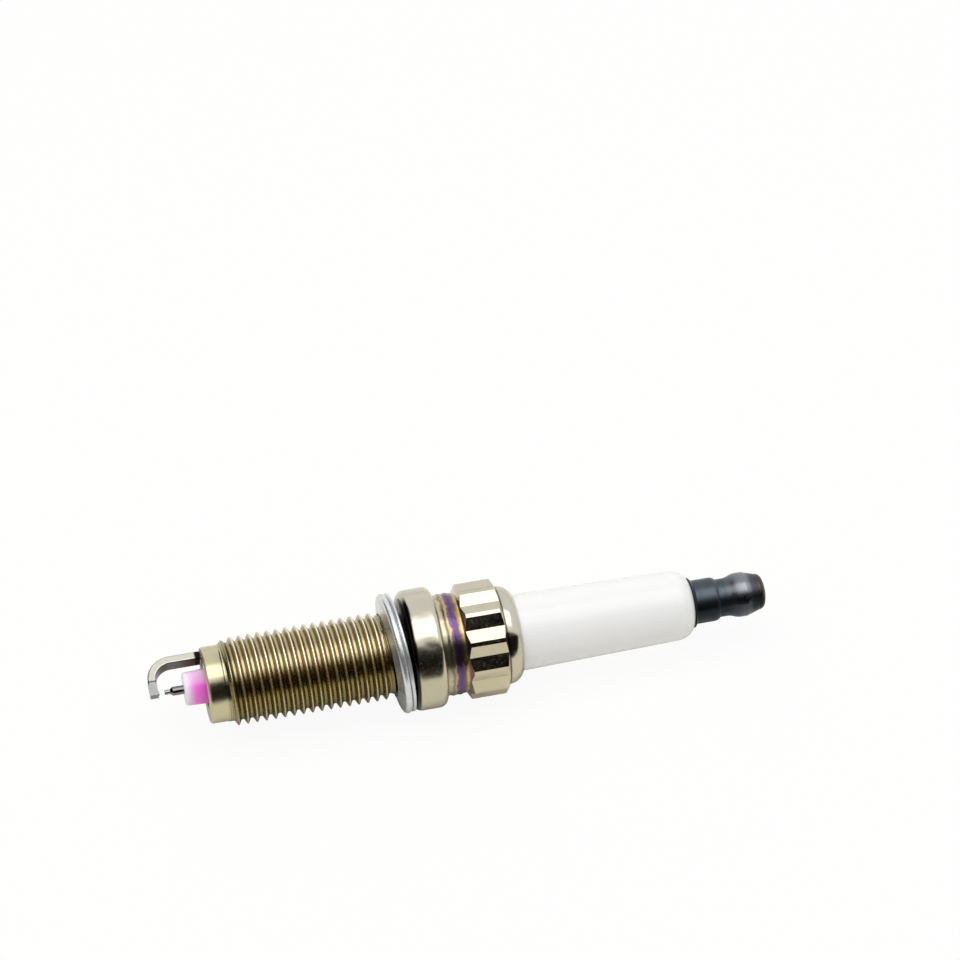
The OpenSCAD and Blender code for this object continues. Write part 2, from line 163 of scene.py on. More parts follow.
def place(tree):
    """Object coordinates, in metres."""
    return add(tree, "ShaderNodeTexCoord").outputs["Object"]


def toward(tree, coords, direction):
    """How far a place lies in a direction, in metres."""
    made = tree.nodes.new("ShaderNodeVectorMath")
    made.operation = "DOT_PRODUCT"
    tree.links.new(coords, made.inputs[0])
    made.inputs[1].default_value = direction
    return made.outputs["Value"]


def off_axis(tree, coords):
    """How far a place lies from the plug's axis, in metres."""
    parts = add(tree, "ShaderNodeSeparateXYZ", Vector=coords).outputs
    across = add(tree, "ShaderNodeCombineXYZ", Y=parts["Y"], Z=parts["Z"])
    made = tree.nodes.new("ShaderNodeVectorMath")
    made.operation = "LENGTH"
    tree.links.new(across.outputs["Vector"], made.inputs[0])
    return made.outputs["Value"]


def maths(tree, operation, a, b=0.0):
    """One value from two, each a number or a socket."""
    made = tree.nodes.new("ShaderNodeMath")
    made.operation = operation
    for socket, value in zip(made.inputs, (a, b)):
        put(tree, socket, value)
    return made.outputs["Value"]


def span(tree, value, low, high, to_low=0.0, to_high=1.0):
    """Maps a value from one range to another, held at the ends."""
    return add(
        tree, "ShaderNodeMapRange",
        Value=value, From_Min=low, From_Max=high, To_Min=to_low, To_Max=to_high,
    ).outputs["Result"]


def between(tree, share, at_none, at_all):
    """A value between two numbers, by a share of 0 to 1."""
    return span(tree, share, 0.0, 1.0, at_none, at_all)


def zone(tree, value, low, high, to_low=0.0, to_high=1.0):
    """Maps a length from a range in millimetres to another range, held at the ends."""
    return span(tree, value, low * MM, high * MM, to_low, to_high)


def ramp(tree, factor, stops):
    """Colours along a factor, from stops of position and colour."""
    made = add(tree, "ShaderNodeValToRGB", Fac=factor)
    elements = made.color_ramp.elements
    while len(elements) < len(stops):
        elements.new(0.5)
    for element, (position, colour) in zip(elements, stops):
        element.position = position
        element.color = (*colour, 1)
    return made.outputs["Color"]


def levels(tree, factor, stops):
    """Grey levels along a factor, from stops of position and level."""
    return ramp(tree, factor, [(position, (level, level, level)) for position, level in stops])


def bands(tree, along, stops):
    """Colours along the axis, from stops of place in millimetres and colour."""
    low, high = stops[0][0], stops[-1][0]
    shares = [((x - low) / (high - low), colour) for x, colour in stops]
    return ramp(tree, zone(tree, along, low, high), shares)


def noise(tree, coords, size, detail=3.0):
    """Noise with features of about the given size in millimetres."""
    made = add(tree, "ShaderNodeTexNoise", Vector=coords, Scale=1 / (size * MM), Detail=detail)
    return made.outputs["Fac"]


def uneven(tree, coords, size, low=0.0, high=1.0):
    """Values from low to high that follow noise of the given size in millimetres."""
    return span(tree, noise(tree, coords, size), NOISE_LOW, NOISE_HIGH, low, high)


def streaks(tree, coords, size, stretch):
    """Noise drawn out around the axis, like the marks of turning."""
    mapped = add(tree, "ShaderNodeMapping", Vector=coords, Scale=(stretch, 1, 1))
    return noise(tree, mapped.outputs["Vector"], size, detail=2.0)


def mix(tree, factor, a, b, blend="MIX"):
    """Blends two colours by a factor, each given as it is or as a socket."""
    made = tree.nodes.new("ShaderNodeMix")
    made.data_type = "RGBA"
    made.blend_type = blend
    put(tree, made.inputs[0], factor)
    for index, value in ((6, a), (7, b)):
        put(tree, made.inputs[index], (*value, 1) if isinstance(value, tuple) else value)
    return made.outputs[2]


def times(tree, tone, colour, share=1.0):
    """A tone multiplied by a colour, wholly or by a share."""
    return mix(tree, share, tone, colour, "MULTIPLY")


def bump(tree, shader, height, depth, strength=1.0):
    """Raises the surface by a height of 0 to 1 times a depth in millimetres."""
    made = add(tree, "ShaderNodeBump", Height=height, Distance=depth * MM, Strength=strength)
    paint(tree, shader, Normal=made.outputs["Normal"])


def thread_tone(tree, coords, depth):
    """Olive plating, browner in patches, with painted shade on the flanks and below and a painted highlight
    on the crests.
    """
    # The crests' light tone is a painted highlight, and the dark tone low on the flanks is painted shade
    tone = ramp(tree, depth, [
        (0.0, (0.46, 0.40, 0.24)),
        (0.12, (0.44, 0.38, 0.225)),
        (0.34, (0.27, 0.23, 0.115)),
        (0.6, (0.44, 0.39, 0.25)),
        (0.8, (0.56, 0.505, 0.35)),
        (0.95, (0.9, 0.85, 0.68)),
    ])
    patches = span(tree, noise(tree, coords, 2.5), 0.4, NOISE_HIGH)
    tone = times(tree, tone, (1.0, 0.91, 0.84), patches)
    # Painted shade, browner, on the lower side of the thread
    below = ramp(tree, zone(tree, toward(tree, coords, UPPER_BACK), 0.8, -3.4), [
        (0.0, WHITE),
        (0.3, (0.95, 0.8, 0.5)),
        (0.6, (0.68, 0.58, 0.33)),
        (1.0, (0.57, 0.54, 0.36)),
    ])
    return times(tree, tone, below)


def seat_shade_and_end_patch(tree, coords, along):
    """Painted shade at the seat, and a dark patch with a ragged edge on the nose's end beside the strap."""
    # Painted shade on the relief at the seat, around the gasket; then a dark patch on the nose's end
    seat = zone(tree, along, -1.9, -1.2)
    end = zone(tree, along, NOSE_END + 0.1, NOSE_END + 0.2, 1.0, 0.0)
    rag = 0.7 * MM
    upper = toward(tree, coords, UPPER_BACK)
    ragged = maths(tree, "ADD", upper, uneven(tree, coords, 0.9, low=-rag, high=rag))
    end = maths(tree, "MULTIPLY", end, zone(tree, ragged, 1.7, 4.0, 0.0, 0.94))
    return maths(tree, "MAXIMUM", seat, end)


def turned_lines(tree, coords, along):
    """Fine lines of turning around the first turns of the thread."""
    # The wave node repeats every pi / (10 * Scale)
    period = 0.26 * MM
    wave = add(tree, "ShaderNodeTexWave", Vector=coords, Scale=math.pi / (10 * period)).outputs["Fac"]
    first = zone(tree, along, ZONE_LOW, THREAD_FULL + 0.8)
    strength = levels(tree, first, [(0.0, 0.0), (0.15, 0.7), (0.6, 0.7), (1.0, 0.0)])
    return maths(tree, "MULTIPLY", wave, strength)


def plated_thread():
    """Olive yellow nickel on nose and thread, with painted shade at the seat, a dark end patch and fine
    turned lines.
    """
    made, tree, shader = material("plated_thread", (0.5, 0.44, 0.28), metallic=1.0, roughness=0.2)
    coords = place(tree)
    along = toward(tree, coords, AXIS)
    depth = zone(tree, off_axis(tree, coords), ROOT_R, CREST_R)
    threaded = zone(tree, along, THREAD_START, THREAD_FULL + 0.2)
    tone = mix(tree, threaded, (0.58, 0.53, 0.34), thread_tone(tree, coords, depth))
    # Near black: painted shade at the seat and a dark patch on the nose's end
    tone = mix(tree, seat_shade_and_end_patch(tree, coords, along), tone, (0.025, 0.02, 0.015))
    tone = times(tree, tone, (0.3, 0.27, 0.2), turned_lines(tree, coords, along))
    crests = span(tree, depth, 0.6, 1.0, 1.0, 0.88)
    corner = zone(tree, along, NOSE_END + 0.15, NOSE_END + NOSE_ROUND + 0.1, 0.5, 1.0)
    rough = uneven(tree, coords, 0.6, low=0.21, high=0.27)
    rough = maths(tree, "ADD", rough, between(tree, threaded, 0.0, 0.04))
    paint(tree, shader, Base_Color=tone, Metallic=maths(tree, "MULTIPLY", crests, corner), Roughness=rough)
    shader.inputs["Specular IOR Level"].default_value = 0.25
    lines = streaks(tree, coords, 2.0, stretch=14)
    grain = noise(tree, coords, 0.35, detail=4.0)
    bump(tree, shader, mix(tree, 0.8, lines, grain), depth=0.006)
    return made


def bright_nickel():
    """Bright nickel: dull on the collar, glossy on the drive, painted shade on the seat's edge, painted
    shadow under the rim.
    """
    made, tree, shader = material("bright_nickel", (0.58, 0.53, 0.41), metallic=1.0, roughness=0.2)
    coords = place(tree)
    along = toward(tree, coords, AXIS)
    upper = toward(tree, coords, UPPER_BACK)
    drive = zone(tree, along, COLLAR_LEN, HEX_LOW)
    tone = ramp(tree, noise(tree, coords, 3.0), [
        (NOISE_LOW, (0.60, 0.56, 0.445)),
        (NOISE_HIGH, (0.55, 0.51, 0.40)),
    ])
    tone = times(tree, tone, (1.0, 0.98, 0.95), drive)
    blend = 0.2
    tone = times(tree, tone, (1.0, 1.03, 1.11), zone(tree, along, HEX_HIGH, HEX_HIGH + blend))
    # Painted tint of the light: cooler on the upper side, warmer below
    painted_side_tint = mix(tree, zone(tree, upper, 4.0, -4.0), (1.0, 1.015, 1.05), (1.0, 0.99, 0.93))
    tone = times(tree, tone, painted_side_tint)
    # Painted shade, near black, on the seat and its rounded edge, except on the upper side
    clear = maths(tree, "MAXIMUM", zone(tree, along, 0.68, 0.86), zone(tree, upper, 6.2, 7.3))
    tone = mix(tree, clear, (0.03, 0.028, 0.025), tone)
    # Painted shadow in the step between the drive and the rim
    shadow = (0.25, 0.24, 0.22)
    step = ramp(tree, zone(tree, along, HEX_HIGH - blend, HEX_HIGH + blend), [
        (0.0, WHITE),
        (0.4, shadow),
        (0.6, shadow),
        (1.0, WHITE),
    ])
    dull = between(tree, drive, 0.05, 0.0)
    fine = span(tree, noise(tree, coords, 0.5), NOISE_LOW, 0.75, 0.14, 0.2)
    pits = span(tree, noise(tree, coords, 0.3, detail=4.0), 0.52, NOISE_HIGH, 0.0, 0.12)
    pits = maths(tree, "MULTIPLY", pits, between(tree, drive, 0.45, 0.85))
    rough = maths(tree, "ADD", maths(tree, "ADD", dull, fine), pits)
    paint(tree, shader, Base_Color=times(tree, tone, step), Roughness=rough)
    swells = noise(tree, coords, 3.0, detail=1.0)
    grain = noise(tree, coords, 0.4, detail=4.0)
    bump(tree, shader, mix(tree, between(tree, drive, 0.026, 0.036), swells, grain), depth=0.16)
    return made


def heat_tint():
    """The oxide colours of the shrink zone: uneven rings along the axis, with a band of painted shade on one
    side.
    """
    made, tree, shader = material("heat_tint", (0.5, 0.45, 0.3), metallic=0.86, roughness=0.2)
    coords = place(tree)
    waver = 0.19 * MM
    moved = maths(tree, "ADD", toward(tree, coords, AXIS), uneven(tree, coords, 1.2, low=-waver, high=waver))
    tone = bands(tree, moved, [
        (4.6, (0.46, 0.43, 0.31)),
        (5.1, (0.55, 0.51, 0.36)),
        (5.4, (0.26, 0.21, 0.11)),
        (5.75, (0.50, 0.42, 0.25)),
        (5.95, (0.27, 0.11, 0.16)),
        (6.15, (0.17, 0.08, 0.24)),
        (6.5, (0.065, 0.08, 0.21)),
        (6.75, (0.18, 0.065, 0.19)),
        (6.95, (0.20, 0.10, 0.05)),
        (7.2, (0.33, 0.23, 0.09)),
        (7.5, (0.58, 0.48, 0.26)),
        (8.0, (0.54, 0.48, 0.31)),
    ])
    # Painted shade: a darker band on one side of the shrink zone
    dark = (0.5, 0.48, 0.5)
    shade = ramp(tree, zone(tree, toward(tree, coords, UPPER_BACK), 1.0, -5.0), [
        (0.1, WHITE),
        (0.3, dark),
        (0.68, dark),
        (0.95, WHITE),
    ])
    rough = uneven(tree, coords, 0.6, low=0.16, high=0.28)
    paint(tree, shader, Base_Color=times(tree, tone, shade), Roughness=rough)
    bump(tree, shader, streaks(tree, coords, 2.0, stretch=10), depth=0.004, strength=0.6)
    return made


def zinc():
    """Cool zinc plate of the gasket, with rubbed and dull patches."""
    made, tree, shader = material("zinc", (0.66, 0.69, 0.74), metallic=0.82, roughness=0.25)
    coords = place(tree)
    tone = ramp(tree, noise(tree, coords, 1.6), [
        (NOISE_LOW, (0.79, 0.81, 0.82)),
        (0.65, (0.67, 0.69, 0.705)),
    ])
    paint(tree, shader, Base_Color=tone, Roughness=uneven(tree, coords, 0.8, low=0.24, high=0.4))
    bump(tree, shader, noise(tree, coords, 0.9, detail=2.0), depth=0.012, strength=0.5)
    return made


def glazed_ceramic():
    """White glazed alumina; the nose's pink tint fades towards its tip and is paled by painted light on its
    upper side.
    """
    made, tree, shader = material("glazed_ceramic", (0.86, 0.86, 0.855), metallic=0.0, roughness=0.1)
    shader.inputs["Specular IOR Level"].default_value = 0.35
    coords = place(tree)
    along = toward(tree, coords, AXIS)
    tint = bands(tree, along, [
        (-29.9, (0.86, 0.85, 0.87)),
        (-29.4, (0.93, 0.78, 0.92)),
        (-29.0, (0.97, 0.48, 0.86)),
        (-28.4, (0.99, 0.22, 0.80)),
        (-27.5, (0.98, 0.18, 0.77)),
        (-26.5, (0.90, 0.12, 0.66)),
    ])
    # Painted light: the pink pales on the upper side
    painted_light_above = zone(tree, toward(tree, coords, UPPER_BACK), 0.2, 1.7, 0.0, 0.62)
    tint = mix(tree, painted_light_above, tint, (0.94, 0.82, 0.93))
    white = mix(tree, uneven(tree, coords, 4.0), (0.862, 0.86, 0.855), (0.85, 0.848, 0.844))
    untinted = zone(tree, along, -20.1, -20.0)
    tone = mix(tree, untinted, tint, white)
    paint(tree, shader, Base_Color=tone, Roughness=uneven(tree, coords, 1.0, low=0.07, high=0.14))
    bump(tree, shader, noise(tree, coords, 3.0, detail=1.0), depth=0.01, strength=0.5)
    return made


def dark_terminal():
    """Blue-black oxide on the terminal: rubbed bright on the bulb, browner at the crown, with painted shade
    below.
    """
    made, tree, shader = material("dark_terminal", (0.06, 0.07, 0.082), metallic=1.0, roughness=0.28)
    coords = place(tree)
    along = toward(tree, coords, AXIS)
    cool = ramp(tree, noise(tree, coords, 1.2), [
        (NOISE_LOW, (0.082, 0.1, 0.118)),
        (NOISE_HIGH, (0.064, 0.078, 0.092)),
    ])
    bulb = zone(tree, along, 44.0, 49.0)
    rubbed = levels(tree, bulb, [(0.0, 0.0), (0.3, 0.6), (0.5, 1.0), (0.62, 1.0), (0.75, 0.0)])
    tone = mix(tree, rubbed, cool, (0.235, 0.238, 0.262))
    tone = mix(tree, zone(tree, along, 47.4, 48.6), tone, (0.07, 0.064, 0.062))
    # Painted shade on the lower side of the terminal
    dark = (0.27, 0.29, 0.31)
    shade = ramp(tree, zone(tree, toward(tree, coords, UPPER_BACK), 0.0, -2.5), [
        (0.1, WHITE),
        (0.45, dark),
        (0.75, dark),
        (1.0, (0.4, 0.42, 0.43)),
    ])
    gloss = between(tree, rubbed, 0.34, 0.24)
    rough = maths(tree, "ADD", uneven(tree, coords, 0.4, low=0.0, high=0.05), gloss)
    paint(tree, shader, Base_Color=times(tree, tone, shade), Roughness=rough)
    bump(tree, shader, noise(tree, coords, 0.9, detail=2.0), depth=0.003, strength=0.6)
    return made


def nickel_alloy(name, colour, smooth, dull):
    """Drawn nickel alloy that is smooth and dull in patches; returns its parts too, for more detail."""
    made, tree, shader = material(name, colour, metallic=1.0, roughness=0.22)
    coords = place(tree)
    worn = tuple(0.92 * part for part in colour)
    tone = ramp(tree, noise(tree, coords, 0.8), [(0.35, colour), (NOISE_HIGH, worn)])
    paint(tree, shader, Base_Color=tone, Roughness=uneven(tree, coords, 0.5, low=smooth, high=dull))
    bump(tree, shader, noise(tree, coords, 0.8, detail=2.0), depth=0.004, strength=0.4)
    return made, tree, shader, tone


def strap_alloy():
    """The ground strap: painted shade on its wide faces, burnt beside its weld, with a line across its arm.
    """
    made, tree, shader, tone = nickel_alloy("strap_nickel", (0.53, 0.515, 0.455), smooth=0.26, dull=0.34)
    coords = place(tree)
    along = toward(tree, coords, AXIS)
    radius = off_axis(tree, coords)
    normal = add(tree, "ShaderNodeTexCoord").outputs["Normal"]
    aside = maths(tree, "ABSOLUTE", toward(tree, normal, (0, -math.sin(STRAP_RISE), math.cos(STRAP_RISE))))
    burnt = zone(tree, along, -30.0, -27.8)
    # The wide faces get a dark painted shade, and nearer the weld a real burnt brown
    wide = mix(tree, burnt, (0.19, 0.18, 0.175), (0.11, 0.05, 0.047))
    tone = mix(tree, span(tree, aside, 0.4, 0.8), wide, tone)
    weld = zone(tree, along, -27.75, -27.5)
    tone = mix(tree, weld, tone, (0.012, 0.007, 0.006))
    arm = zone(tree, radius, 1.4, 2.2)
    line = levels(tree, arm, [(0.0, 1.0), (0.22, 1.0), (0.34, 0.2), (0.46, 0.2), (0.6, 1.0)])
    tone = times(tree, tone, line)
    end = zone(tree, radius, 1.5, 1.6)
    tone = mix(tree, end, (0.24, 0.24, 0.245), tone)
    paint(tree, shader, Base_Color=tone)
    return made


def hidden_filler(name, colour, metallic, roughness):
    """Pieces inside the plug: a grainy version of their own colour."""
    made, tree, shader = material(name, colour, metallic, roughness)
    dark = tuple(0.7 * part for part in colour)
    grain = noise(tree, place(tree), 0.3)
    paint(tree, shader, Base_Color=ramp(tree, grain, [(NOISE_LOW, colour), (NOISE_HIGH, dark)]))
    return made


def arc(x, r, size, start, stop, steps):
    """Points of an arc in the plane of axis and radius, with angles from +X towards larger radius."""
    angles = [math.radians(start + (stop - start) * i / steps) for i in range(steps + 1)]
    return [(x + size * math.cos(a), r + size * math.sin(a)) for a in angles]


def column_angles():
    """Angles around the axis, closer together at the drive's valleys and points."""
    half_land = SECTOR - math.degrees(math.acos(HEX_FLAT_R / HEX_TIP_R))
    edge = SECTOR / 2 - half_land
    near = 0.55
    even = 3.2
    first = [0, near, even, 2 * even, 3 * even, edge - near, edge, edge + near]
    sector = first + [SECTOR / 2] + [SECTOR - a for a in reversed(first[1:])]
    return [DOWN + SECTOR * i + a for i in range(HEX_POINTS) for a in sector] + [DOWN + 360]


def drive_radius(angle):
    """Radius of the two crossed hexagons at an angle, with the points cut round."""
    from_point = abs((angle - DOWN) % SECTOR - SECTOR / 2)
    flat = HEX_FLAT_R / math.cos(math.radians(SECTOR - from_point))
    return min(flat, HEX_TIP_R)


def relief_limit(x, rise):
    """The largest radius of the thread where it runs out on the relief."""
    ends = [
        (THREAD_HIGH, CREST_R),
        (RELIEF_END, RELIEF_R + RELIEF_RIDGE * rise),
        (RELIEF_END + RELIEF_RUN, RELIEF_R),
    ]
    if x <= THREAD_HIGH:
        return CREST_R
    for (x0, r0), (x1, r1) in zip(ends, ends[1:]):
        if x <= x1:
            return r0 + (r1 - r0) * (x - x0) / (x1 - x0)
    return RELIEF_R


def thread_radius(x, crest, rise):
    """Radius on a ridge at a place on its form; the ridge grows along the first turn."""
    lead = min((x - ZONE_LOW) / LEAD_IN, 1)
    grown = min(max((crest - THREAD_START) / (THREAD_FULL - THREAD_START), 0), 1)
    root = NOSE_R + (ROOT_R - NOSE_R) * lead
    return min(root + (CREST_R - ROOT_R) * rise * grown * lead, relief_limit(x, rise))


def thread_rows(angles):
    """Rows of the helical zone; each keeps one place on the thread's form, cut off at the zone's ends."""
    spare = 1
    turns = math.ceil((ZONE_HIGH - ZONE_LOW) / PITCH) + 2 * spare
    rows = []
    for turn in range(turns):
        for part, rise in THREAD_FORM:
            to_crest = -part if part <= 0.5 else 1 - part
            row = []
            for angle in angles:
                at = ZONE_LOW + PITCH * (turn - spare + part - THREAD_PHASE + (angle - angles[0]) / 360)
                x = min(max(at, ZONE_LOW), ZONE_HIGH)
                row.append((x, thread_radius(x, at + PITCH * to_crest, rise)))
            rows.append(row)
    return rows


def nose_profile():
    """Profile of the shell's end, from its bore to the nose's outside."""
    points = [(NOSE_END + BORE_EDGE, NOSE_BORE_R), (NOSE_END, NOSE_BORE_R + BORE_EDGE)]
    return points + arc(NOSE_END + NOSE_ROUND, NOSE_R - NOSE_ROUND, NOSE_ROUND, 180, 90, 6)


def collar_profile():
    """Profile of the collar, from the relief over the seat to the shrink zone."""
    flat = 0.3
    points = [(0, RELIEF_R), (0, COLLAR_R - SEAT_ROUND - flat)]
    points += arc(SEAT_ROUND, COLLAR_R - SEAT_ROUND, SEAT_ROUND, 180, 90, 10)
    return points + arc(COLLAR_LEN - COLLAR_ROUND, COLLAR_R - COLLAR_ROUND, COLLAR_ROUND, 90, 0, 8)


def shrink_profile():
    """Profile of the shrink zone: a shallow bulge with two low ridges."""
    steps = 40
    points = []
    for i in range(steps + 1):
        s = i / steps
        fade = math.sin(math.pi * s)
        ridge = SHRINK_RIDGE * math.cos(2 * SHRINK_WAVES * math.pi * s) * fade
        points.append((COLLAR_LEN + (HEX_LOW - COLLAR_LEN) * s, SHRINK_R + SHRINK_BULGE * fade + ridge))
    return points


def drive_rows(angles):
    """The two ends of the drive's facets, each with its chamfer."""
    radii = [drive_radius(a) for a in angles]
    lead_rate = HEX_LEAD / (HEX_TIP_R - SHRINK_R)
    chamfer_rate = HEX_CHAMFER / (HEX_TIP_R - CRIMP_R)
    return [
        [(HEX_LOW + lead_rate * (r - SHRINK_R), r) for r in radii],
        [(HEX_HIGH - chamfer_rate * (r - CRIMP_R), r) for r in radii],
    ]


def rim_profile():
    """Profile of the curled rim, over its outside and back along its inside."""
    curl_x, curl_r = HEX_HIGH + CRIMP_LEN, CRIMP_R - CRIMP_CURL
    inner_curl = CRIMP_CURL - (CRIMP_R - COLLAR_BORE_R)
    out_stop = math.degrees(math.acos((NECK_R + FIT + CRIMP_EDGE - curl_r) / CRIMP_CURL))
    in_stop = math.degrees(math.acos((NECK_R + FIT - curl_r) / inner_curl))
    points = [(HEX_HIGH, CRIMP_R)] + arc(curl_x, curl_r, CRIMP_CURL, 90, 90 - out_stop, 14)
    return points + arc(curl_x, curl_r, inner_curl, 90 - in_stop, 90, 6)


def bore_profile():
    """Profile of the bores, from the rim back towards the nose."""
    return [
        (BORE_STEP + BORE_STEP_LEN, COLLAR_BORE_R),
        (BORE_STEP, BODY_BORE_R),
        (LEDGE + (BODY_BORE_R - THROAT_R) * LEDGE_SLOPE, BODY_BORE_R),
        (LEDGE, THROAT_R),
        (LEDGE - THROAT_LEN + NOSE_BORE_R - THROAT_R, THROAT_R),
        (LEDGE - THROAT_LEN, NOSE_BORE_R),
    ]


def rings(points, angles):
    """Rows that are the same all round, one for each point of a profile."""
    return [[point] * len(angles) for point in points]


def shell_rows(angles):
    """Every row of the shell's surface, from the nose round the outside and back through the bores."""
    rows = rings(nose_profile(), angles)
    rows += thread_rows(angles)
    rows += rings(collar_profile() + shrink_profile(), angles)
    rows += drive_rows(angles)
    rows += rings(rim_profile() + bore_profile(), angles)
    return rows


def skin(name, rows, angles, where, sharp):
    """A closed mesh from rows of points around the axis, put in its place; the last row joins the first."""
    merge = 0.001 * MM
    made = bmesh.new()
    grid = []
    for row in rows:
        ring = []
        for (x, r), angle in zip(row, angles):
            a = math.radians(angle)
            ring.append(made.verts.new(where @ Vector((x, r * math.cos(a), r * math.sin(a))) * MM))
        grid.append(ring)
    for here, after in zip(grid, grid[1:] + grid[:1]):
        for i in range(len(angles) - 1):
            made.faces.new((here[i], here[i + 1], after[i + 1], after[i]))
    bmesh.ops.remove_doubles(made, verts=made.verts, dist=merge)
    bmesh.ops.recalc_face_normals(made, faces=made.faces)
    mesh = bpy.data.meshes.new(name)
    made.to_mesh(mesh)
    made.free()
    mesh.polygons.foreach_set("use_smooth", [True] * len(mesh.polygons))
    mesh.set_sharp_from_angle(angle=math.radians(sharp))
    piece = bpy.data.objects.new(name, mesh)
    bpy.context.scene.collection.objects.link(piece)
    return piece


def make_shell():
    """The threaded shell, with its thread cut as a right-hand helix."""
    angles = column_angles()
    piece = skin("threaded_shell", shell_rows(angles), angles, Matrix(), sharp=30.0)
    thread, tint, nickel = range(3)
    for made in (plated_thread(), heat_tint(), bright_nickel()):
        piece.data.materials.append(made)
    slack = 0.01
    for face in piece.data.polygons:
        x = face.center.x / MM
        if x < -slack:
            face.material_index = thread
        elif COLLAR_LEN + slack < x < HEX_LOW + 2 * slack:
            face.material_index = tint
        else:
            face.material_index = nickel
    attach(piece, "plug")
    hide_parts("shell")


def gasket_rows(angles):
    """Rows of the folded gasket: a dished lip, a rolled rim and the curled edge of the layer behind it."""
    front, behind = -GASKET_T / 2, GASKET_T / 2
    sheet, bevel, step, hem = 0.34, 0.05, 0.1, 0.4
    rim, edge, curl, inset = 0.5, 0.24, 0.23, 0.06
    lip, back = front - DISH, LIP_R + hem
    rim_x, rim_r = front + rim, GASKET_R - rim
    edge_x, edge_r = behind - edge + curl, GASKET_R - inset - edge
    points = [(lip + bevel, LIP_R), (lip, LIP_R + inset)]
    points += arc(rim_x, rim_r, rim, 194, 30, 14)
    points += [(rim_x + rim, rim_r + step)]
    points += arc(edge_x, edge_r, edge, 160, -70, 12)
    points += [(behind, edge_r - edge - bevel), (behind, back), (behind - step, back - step)]
    points += [(0, back - step), (-sheet, back + step), (lip + sheet, LIP_R)]
    swing, ripple = 0.03, 0.02
    turns = [math.radians(a) for a in angles]
    wave = [swing * math.sin(2 * a + 1) + ripple * math.sin(5 * a) for a in turns]
    rows = []
    for x, r in points:
        in_fold = r > rim_r and rim_x < x < behind - bevel
        rows.append([(x + w if in_fold else x, r) for w in wave])
    return rows


def make_gasket():
    """The loose gasket, leaning on the seat as in the photograph."""
    columns = 144
    angles = [360 * i / columns for i in range(columns + 1)]
    leaning = Matrix.Rotation(LEAN_TURN, 4, "X") @ Matrix.Rotation(LEAN, 4, "Z")
    where = Matrix.Translation((GASKET_MID, 0, 0)) @ leaning
    piece = skin("folded_gasket", gasket_rows(angles), angles, where, sharp=50.0)
    piece.data.materials.append(zinc())
    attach(piece, "gasket")
    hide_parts("sealing_gasket")


def dress_solids(nodes):
    """Materials for the solids, also for the two that are replaced."""
    electrode = nickel_alloy("electrode_nickel", (0.22, 0.21, 0.21), smooth=0.12, dull=0.2)[0]
    pin = nickel_alloy("pin_metal", (0.36, 0.35, 0.35), smooth=0.12, dull=0.2)[0]
    copper = hidden_filler("copper", (0.72, 0.35, 0.2), metallic=1.0, roughness=0.3)
    steel = hidden_filler("plain_steel", (0.55, 0.55, 0.56), metallic=1.0, roughness=0.35)
    seal = hidden_filler("seal_glass", (0.2, 0.11, 0.07), metallic=0.0, roughness=0.5)
    looks = {
        "sealing_gasket": steel,
        "shell": steel,
        "insulator": glazed_ceramic(),
        "terminal_nut": dark_terminal(),
        "ground_electrode": strap_alloy(),
        "centre_electrode": electrode,
        "centre_electrode_tip": pin,
        "ground_electrode_pad": pin,
        "centre_electrode_core": copper,
        "ground_electrode_core": copper,
        "terminal_stud": steel,
        "inner_seal_ring": steel,
        "upper_glass_seal": seal,
        "lower_glass_seal": seal,
        "resistor_core": hidden_filler("resistor", (0.04, 0.04, 0.04), metallic=0.0, roughness=0.7),
    }
    for name, look in looks.items():
        data = nodes[name].data
        data.materials.clear()
        data.materials.append(look)


def ray_share(tree, camera, mirror, rest):
    """A strength for camera rays, one for mirrored or transmitted rays and one for all others."""
    path = tree.nodes.new("ShaderNodeLightPath").outputs
    bounced = maths(tree, "MAXIMUM", path["Is Glossy Ray"], path["Is Transmission Ray"])
    mirrored = between(tree, bounced, rest, mirror)
    extra = between(tree, path["Is Camera Ray"], 0.0, camera - rest)
    return maths(tree, "ADD", mirrored, extra)


def make_sheet(name, corners, look):
    """A piece of one four-sided face."""
    mesh = bpy.data.meshes.new(name)
    mesh.from_pydata(corners, [], [(0, 1, 2, 3)])
    mesh.materials.append(look)
    sheet = bpy.data.objects.new(name, mesh)
    bpy.context.scene.collection.objects.link(sheet)
    return sheet


def floor_white():
    """A pale floor that is white to the camera where no shadow falls."""
    made, tree, shader = material("floor_white", (0.86, 0.85, 0.80), metallic=0.0, roughness=0.6)
    shader.inputs["Specular IOR Level"].default_value = 0.0
    glow = add(tree, "ShaderNodeEmission", Color=(1, 1, 1, 1), Strength=1.0)
    blend = tree.nodes.new("ShaderNodeMixShader")
    tree.links.new(ray_share(tree, camera=0.93, mirror=0.0, rest=0.0), blend.inputs["Fac"])
    tree.links.new(shader.outputs["BSDF"], blend.inputs[1])
    tree.links.new(glow.outputs["Emission"], blend.inputs[2])
    tree.links.new(blend.outputs["Shader"], tree.nodes["Material Output"].inputs["Surface"])
    return made


def make_floor():
    """The floor, under the gasket's rim."""
    half = 3.0
    z = -GASKET_R * MM
    corners = [(-half, -half, z), (half, -half, z), (half, half, z), (-half, half, z)]
    floor = make_sheet("floor", corners, floor_white())


def make_card(name, corners, look):
    """A dark card that only reflections see."""
    card = make_sheet(name, corners, look)
    for kind in ("camera", "diffuse", "shadow", "transmission", "volume_scatter"):
        setattr(card, "visible_" + kind, False)


